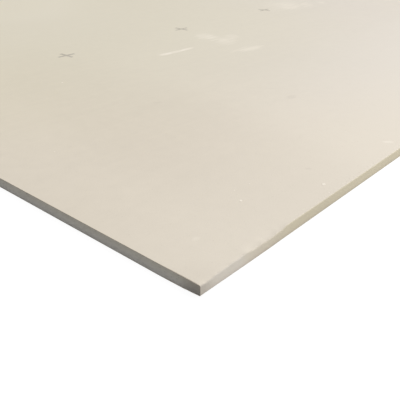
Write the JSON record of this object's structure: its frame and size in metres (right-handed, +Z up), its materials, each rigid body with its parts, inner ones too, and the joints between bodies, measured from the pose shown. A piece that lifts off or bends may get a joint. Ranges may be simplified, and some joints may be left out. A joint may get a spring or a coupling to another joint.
{
  "type": "drywall sheet",
  "caption": "Flat gypsum wallboard sheet with ivory face paper folded round its square long edges and with square-cut ends, for lining walls and ceilings.",
  "frame": {"origin": "middle of the back of the sheet, on the floor plane that it lies on", "axes": "+X along the paper-bound long edges, +Y across the sheet's width, +Z up, out of the face"},
  "size_m": [2.4, 1.2, 0.0095],
  "materials": {
    "face_paper": "matte",
    "gypsum_core": "matte",
    "back_liner": "matte"
  },
  "bodies": {
    "root": {"drywall_sheet": "face_paper"}
  },
  "joints": []
}
